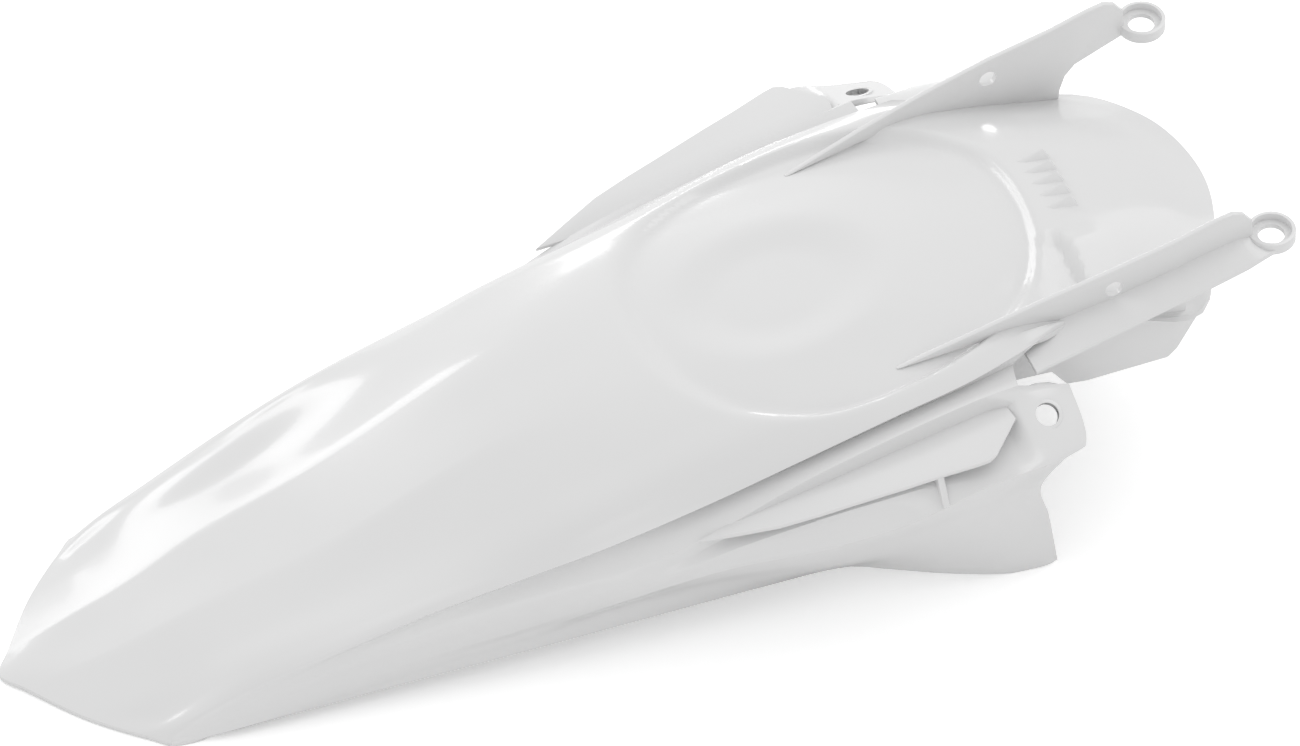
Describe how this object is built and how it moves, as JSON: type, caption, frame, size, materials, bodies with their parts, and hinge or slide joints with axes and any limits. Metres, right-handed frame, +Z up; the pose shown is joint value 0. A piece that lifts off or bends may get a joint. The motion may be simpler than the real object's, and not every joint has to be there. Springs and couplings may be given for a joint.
{
  "type": "motorcycle rear fender",
  "caption": "One-piece moulded rear fender for an off-road motorcycle, with a tapering tail, a seat recess, flared side skirts and two front fixing arms.",
  "frame": {"origin": "centre of the fender's footprint, on the surface that it stands on", "axes": "+X forward, from the tail to the front arms, +Y to the rider's left, +Z up"},
  "size_m": [0.752, 0.334, 0.191],
  "materials": {
    "white_plastic": "glossy injection-moulded polypropylene"
  },
  "bodies": {
    "root": {"fender": "white_plastic"}
  },
  "joints": []
}
